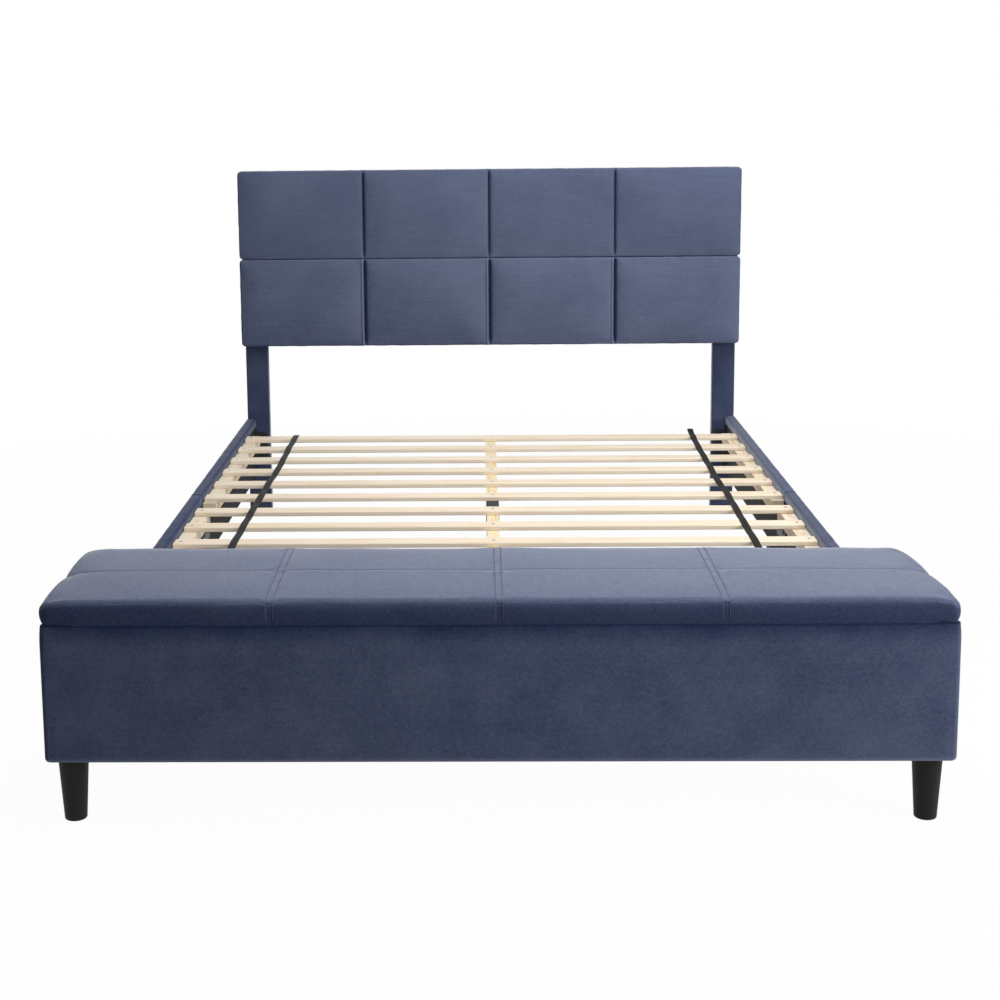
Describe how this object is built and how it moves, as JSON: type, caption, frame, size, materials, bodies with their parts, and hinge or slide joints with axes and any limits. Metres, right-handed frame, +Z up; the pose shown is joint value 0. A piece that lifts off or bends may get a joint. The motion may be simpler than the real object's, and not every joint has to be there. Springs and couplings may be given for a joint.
{
  "type": "platform bed",
  "caption": "Upholstered platform bed with slats, quilted headboard panels on posts, and a padded storage bench with a hinged lid at its foot.",
  "frame": {"origin": "on the floor, under the middle of the bed's bounding box", "axes": "+Z up, +Y from the bench to the headboard, +X to the right seen from the foot"},
  "size_m": [1.692, 2.553, 1.1221],
  "materials": {
    "velvet": "matte",
    "velvet_on_wood": "matte",
    "webbing": "matte",
    "lining": "matte",
    "frame_pine": "matte",
    "slat_pine": "matte",
    "board": "matte",
    "black_wood": "satin",
    "black_plastic": "matte",
    "black_steel": "satin",
    "zinc_steel": "satin"
  },
  "bodies": {
    "bed_frame": {"beam_hanger": "black_steel", "bench_back_panel": "board", "bench_bottom_panel": "board", "bench_cover": "velvet", "bench_front_panel": "board", "bench_left_panel": "board", "bench_leg_back_left": "black_wood", "bench_leg_back_right": "black_wood", "bench_leg_bolts": "zinc_steel", "bench_leg_front_left": "black_wood", "bench_leg_front_right": "black_wood", "bench_right_panel": "board", "bench_supports": "board", "centre_beam_foot": "frame_pine", "centre_beam_head": "frame_pine", "centre_beam_splice": "black_steel", "centre_legs": "black_plastic", "headboard_bolts": "zinc_steel", "headboard_linings": "lining", "headboard_lower_board": "board", "headboard_lower_pad": "velvet", "headboard_post_left": "velvet_on_wood", "headboard_post_right": "velvet_on_wood", "headboard_upper_board": "board", "headboard_upper_pad": "velvet", "hinge_box_leaves": "zinc_steel", "hinge_box_screws": "zinc_steel", "hinge_pins": "zinc_steel", "rail_bolts": "black_steel", "rail_brackets": "black_steel", "rail_legs": "black_wood", "rail_plates": "black_steel", "side_rail_left_foot": "velvet_on_wood", "side_rail_left_head": "velvet_on_wood", "side_rail_right_foot": "velvet_on_wood", "side_rail_right_head": "velvet_on_wood", "slat_01": "slat_pine", "slat_02": "slat_pine", "slat_03": "slat_pine", "slat_04": "slat_pine", "slat_05": "slat_pine", "slat_06": "slat_pine", "slat_07": "slat_pine", "slat_08": "slat_pine", "slat_09": "slat_pine", "slat_10": "slat_pine", "slat_11": "slat_pine", "slat_12": "slat_pine", "slat_ledger_left_foot": "frame_pine", "slat_ledger_left_head": "frame_pine", "slat_ledger_right_foot": "frame_pine", "slat_ledger_right_head": "frame_pine", "slat_screws": "zinc_steel", "slat_strap_left": "webbing", "slat_strap_right": "webbing"},
    "bench_lid": {"lid_board": "board", "lid_lining": "lining", "lid_pad": "velvet", "hinge_lid_leaves": "zinc_steel", "hinge_lid_screws": "zinc_steel"}
  },
  "joints": [
    {"name": "lid_hinge", "type": "hinge", "parent": "bed_frame", "child": "bench_lid", "pos_m": [0, -0.8715, 0.39365], "axis": [-1, 0, 0], "range_deg": [0, 85]}
  ]
}
